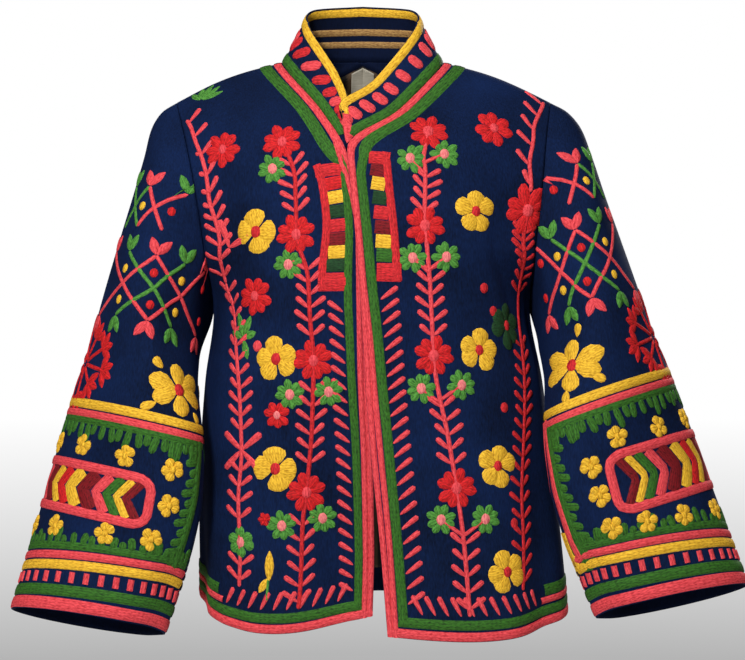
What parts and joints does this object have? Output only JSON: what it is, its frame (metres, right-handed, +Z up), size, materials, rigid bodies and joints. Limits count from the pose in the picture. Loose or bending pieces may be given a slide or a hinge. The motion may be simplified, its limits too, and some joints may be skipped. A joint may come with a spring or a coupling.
{
  "type": "velvet jacket",
  "caption": "Hip-length velvet jacket with a stand collar, an open overlapping front and wide straight sleeves, filled out as if worn.",
  "frame": {"origin": "where the wearer's shoulders carry it: midway between the two points where the collar meets the shoulder seams, 24 mm below them", "axes": "+Z up along the standing wearer, -Y out of the front, +X towards the wearer's left sleeve, along the longest extent"},
  "size_m": [0.7912, 0.2629, 0.696],
  "materials": {
    "velvet": "matte pile",
    "lining": "plain weave",
    "label": "plain weave"
  },
  "bodies": {
    "root": {"front_left": "velvet", "front_right": "velvet", "back": "velvet", "sleeve_left": "velvet", "sleeve_right": "velvet", "collar": "velvet", "back_lining": "lining", "neck_label": "label"}
  },
  "joints": []
}
